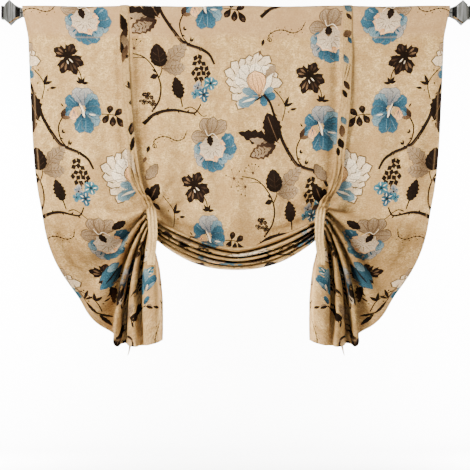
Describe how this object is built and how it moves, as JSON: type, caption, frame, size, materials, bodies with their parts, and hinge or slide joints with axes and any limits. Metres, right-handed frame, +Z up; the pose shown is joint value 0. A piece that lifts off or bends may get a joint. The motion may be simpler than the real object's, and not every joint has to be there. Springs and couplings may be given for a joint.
{
  "type": "tie-up curtain on a rod",
  "caption": "Printed curtain panel on a rod with faceted finials, drawn up by two pairs of ties into a swag with gathered sides and hanging tails.",
  "frame": {"origin": "middle of the rod's centre line", "axes": "+X along the rod to the right seen from the front, +Y back towards the wall, +Z up"},
  "size_m": [1.2818, 0.092, 0.9713],
  "materials": {
    "printed_linen": "matte woven, printed with flowers",
    "tie_linen": "matte woven",
    "polished_metal": "polished"
  },
  "bodies": {
    "root": {"curtain_panel": "printed_linen", "left_front_tie": "tie_linen", "right_front_tie": "tie_linen", "left_back_tie": "tie_linen", "right_back_tie": "tie_linen", "rod": "polished_metal", "left_collar": "polished_metal", "right_collar": "polished_metal", "left_finial": "polished_metal", "right_finial": "polished_metal"}
  },
  "joints": []
}
